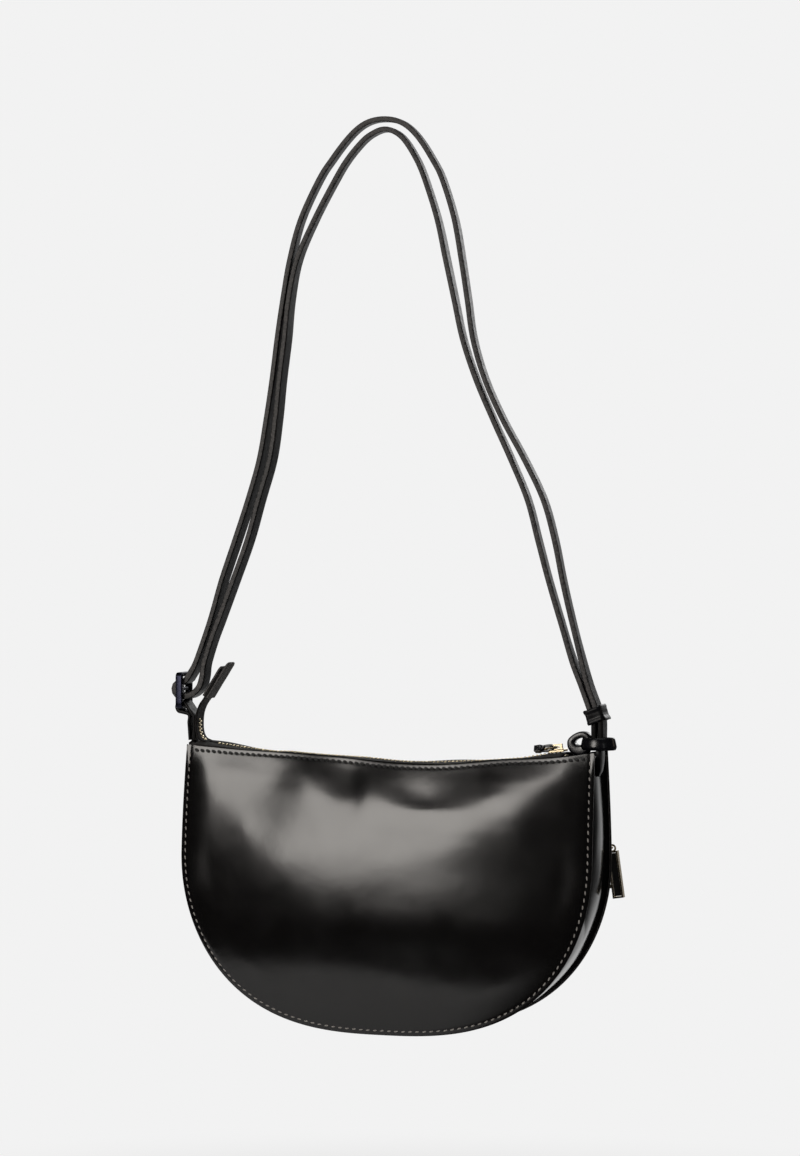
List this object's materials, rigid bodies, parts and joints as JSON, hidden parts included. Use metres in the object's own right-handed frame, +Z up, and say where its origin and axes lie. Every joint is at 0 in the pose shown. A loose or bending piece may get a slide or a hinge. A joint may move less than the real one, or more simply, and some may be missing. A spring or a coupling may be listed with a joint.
{
  "type": "crossbody bag",
  "caption": "Half-moon leather crossbody bag with a curved zip top, a zipped front pocket and a doubled strap knotted at one end and buckled at the other.",
  "frame": {"origin": "underside of the inner strand at the top of the strap, where the bag hangs", "axes": "+Z up, +X along the bag towards the knotted end of the strap, -Y the plain back panel, +Y the panel with the front pocket"},
  "size_m": [0.2857, 0.0611, 0.5537],
  "materials": {
    "box_leather": "smooth polished black calf",
    "strap_leather": "black, satin, with painted edges",
    "lining_cloth": "dark woven cloth",
    "zip_tape": "black woven tape",
    "zip_metal": "pale gold, polished",
    "pull_metal": "pale nickel, polished",
    "buckle_metal": "black nickel, glossy",
    "inlay": "dark enamel, no text"
  },
  "bodies": {
    "strap_hang": {"strap": "strap_leather", "buckle_frame": "buckle_metal", "left_tab": "strap_leather"},
    "keeper": {"strap_keeper": "strap_leather"},
    "bag": {"back_panel": "box_leather", "front_panel": "box_leather", "gusset": "box_leather", "lining_back": "lining_cloth", "lining_front": "lining_cloth", "lining_gusset": "lining_cloth", "main_zip_tape_back": "zip_tape", "main_zip_tape_front": "zip_tape", "main_zip_teeth_back": "zip_metal", "main_zip_teeth_front": "zip_metal", "left_tab_tongue": "strap_leather", "right_tab_tongue": "strap_leather", "knot_wrap": "strap_leather", "knot_loop": "strap_leather", "front_zip_tape_upper": "zip_tape", "front_zip_tape_lower": "zip_tape", "front_zip_teeth_upper": "zip_metal", "front_zip_teeth_lower": "zip_metal", "front_pocket_bag": "lining_cloth"},
    "zip_tail": {"zip_tail_tape": "zip_tape", "zip_tail_teeth": "zip_metal", "zip_tail_tab_upper": "strap_leather", "zip_tail_tab_lower": "strap_leather"},
    "main_slider": {"main_zip_slider": "zip_metal", "main_zip_slider_base": "zip_metal"},
    "main_pull": {"main_pull_link": "pull_metal", "main_pull_leather": "box_leather"},
    "front_slider": {"front_zip_slider": "zip_metal", "front_zip_slider_base": "zip_metal"},
    "front_pull": {"front_pull_link": "pull_metal", "front_pull_ring": "pull_metal"},
    "front_bar": {"front_pull_bar": "pull_metal", "front_pull_inlay": "inlay"}
  },
  "joints": [
    {"name": "bag_swing", "type": "hinge", "parent": "strap_hang", "child": "bag", "pos_m": [0.0058, 0, -0.3592], "axis": [1, 0, 0], "range_deg": [-55, 55]},
    {"name": "keeper_slide", "type": "slide", "parent": "strap_hang", "child": "keeper", "axis": [-0.3503, 0, 0.9366], "range_m": [0, 0.011]},
    {"name": "main_zip_travel", "type": "hinge", "parent": "bag", "child": "main_slider", "pos_m": [0.0058, 0, 0.45531], "axis": [0, 1, 0], "range_deg": [0, 13.2]},
    {"name": "main_pull_flip", "type": "hinge", "parent": "main_slider", "child": "main_pull", "pos_m": [0.1084, 0, -0.37121], "axis": [0, 1, 0], "range_deg": [0, 110]},
    {"name": "zip_tail_bend", "type": "hinge", "parent": "bag", "child": "zip_tail", "pos_m": [-0.1132, 0, -0.3726], "axis": [0, 1, 0], "range_deg": [0, 40]},
    {"name": "front_zip_travel", "type": "hinge", "parent": "bag", "child": "front_slider", "pos_m": [0.0058, -1.66356, -0.4332], "axis": [0, 0, 1], "range_deg": [0, 7.1]},
    {"name": "front_pull_flip", "type": "hinge", "parent": "front_slider", "child": "front_pull", "pos_m": [0.11699, 0.02556, -0.4332], "axis": [0, 0, 1], "range_deg": [0, 100]},
    {"name": "front_bar_swing", "type": "hinge", "parent": "front_pull", "child": "front_bar", "pos_m": [0.13444, 0.02902, -0.4332], "axis": [0, -1, 0], "range_deg": [0, 60]}
  ]
}
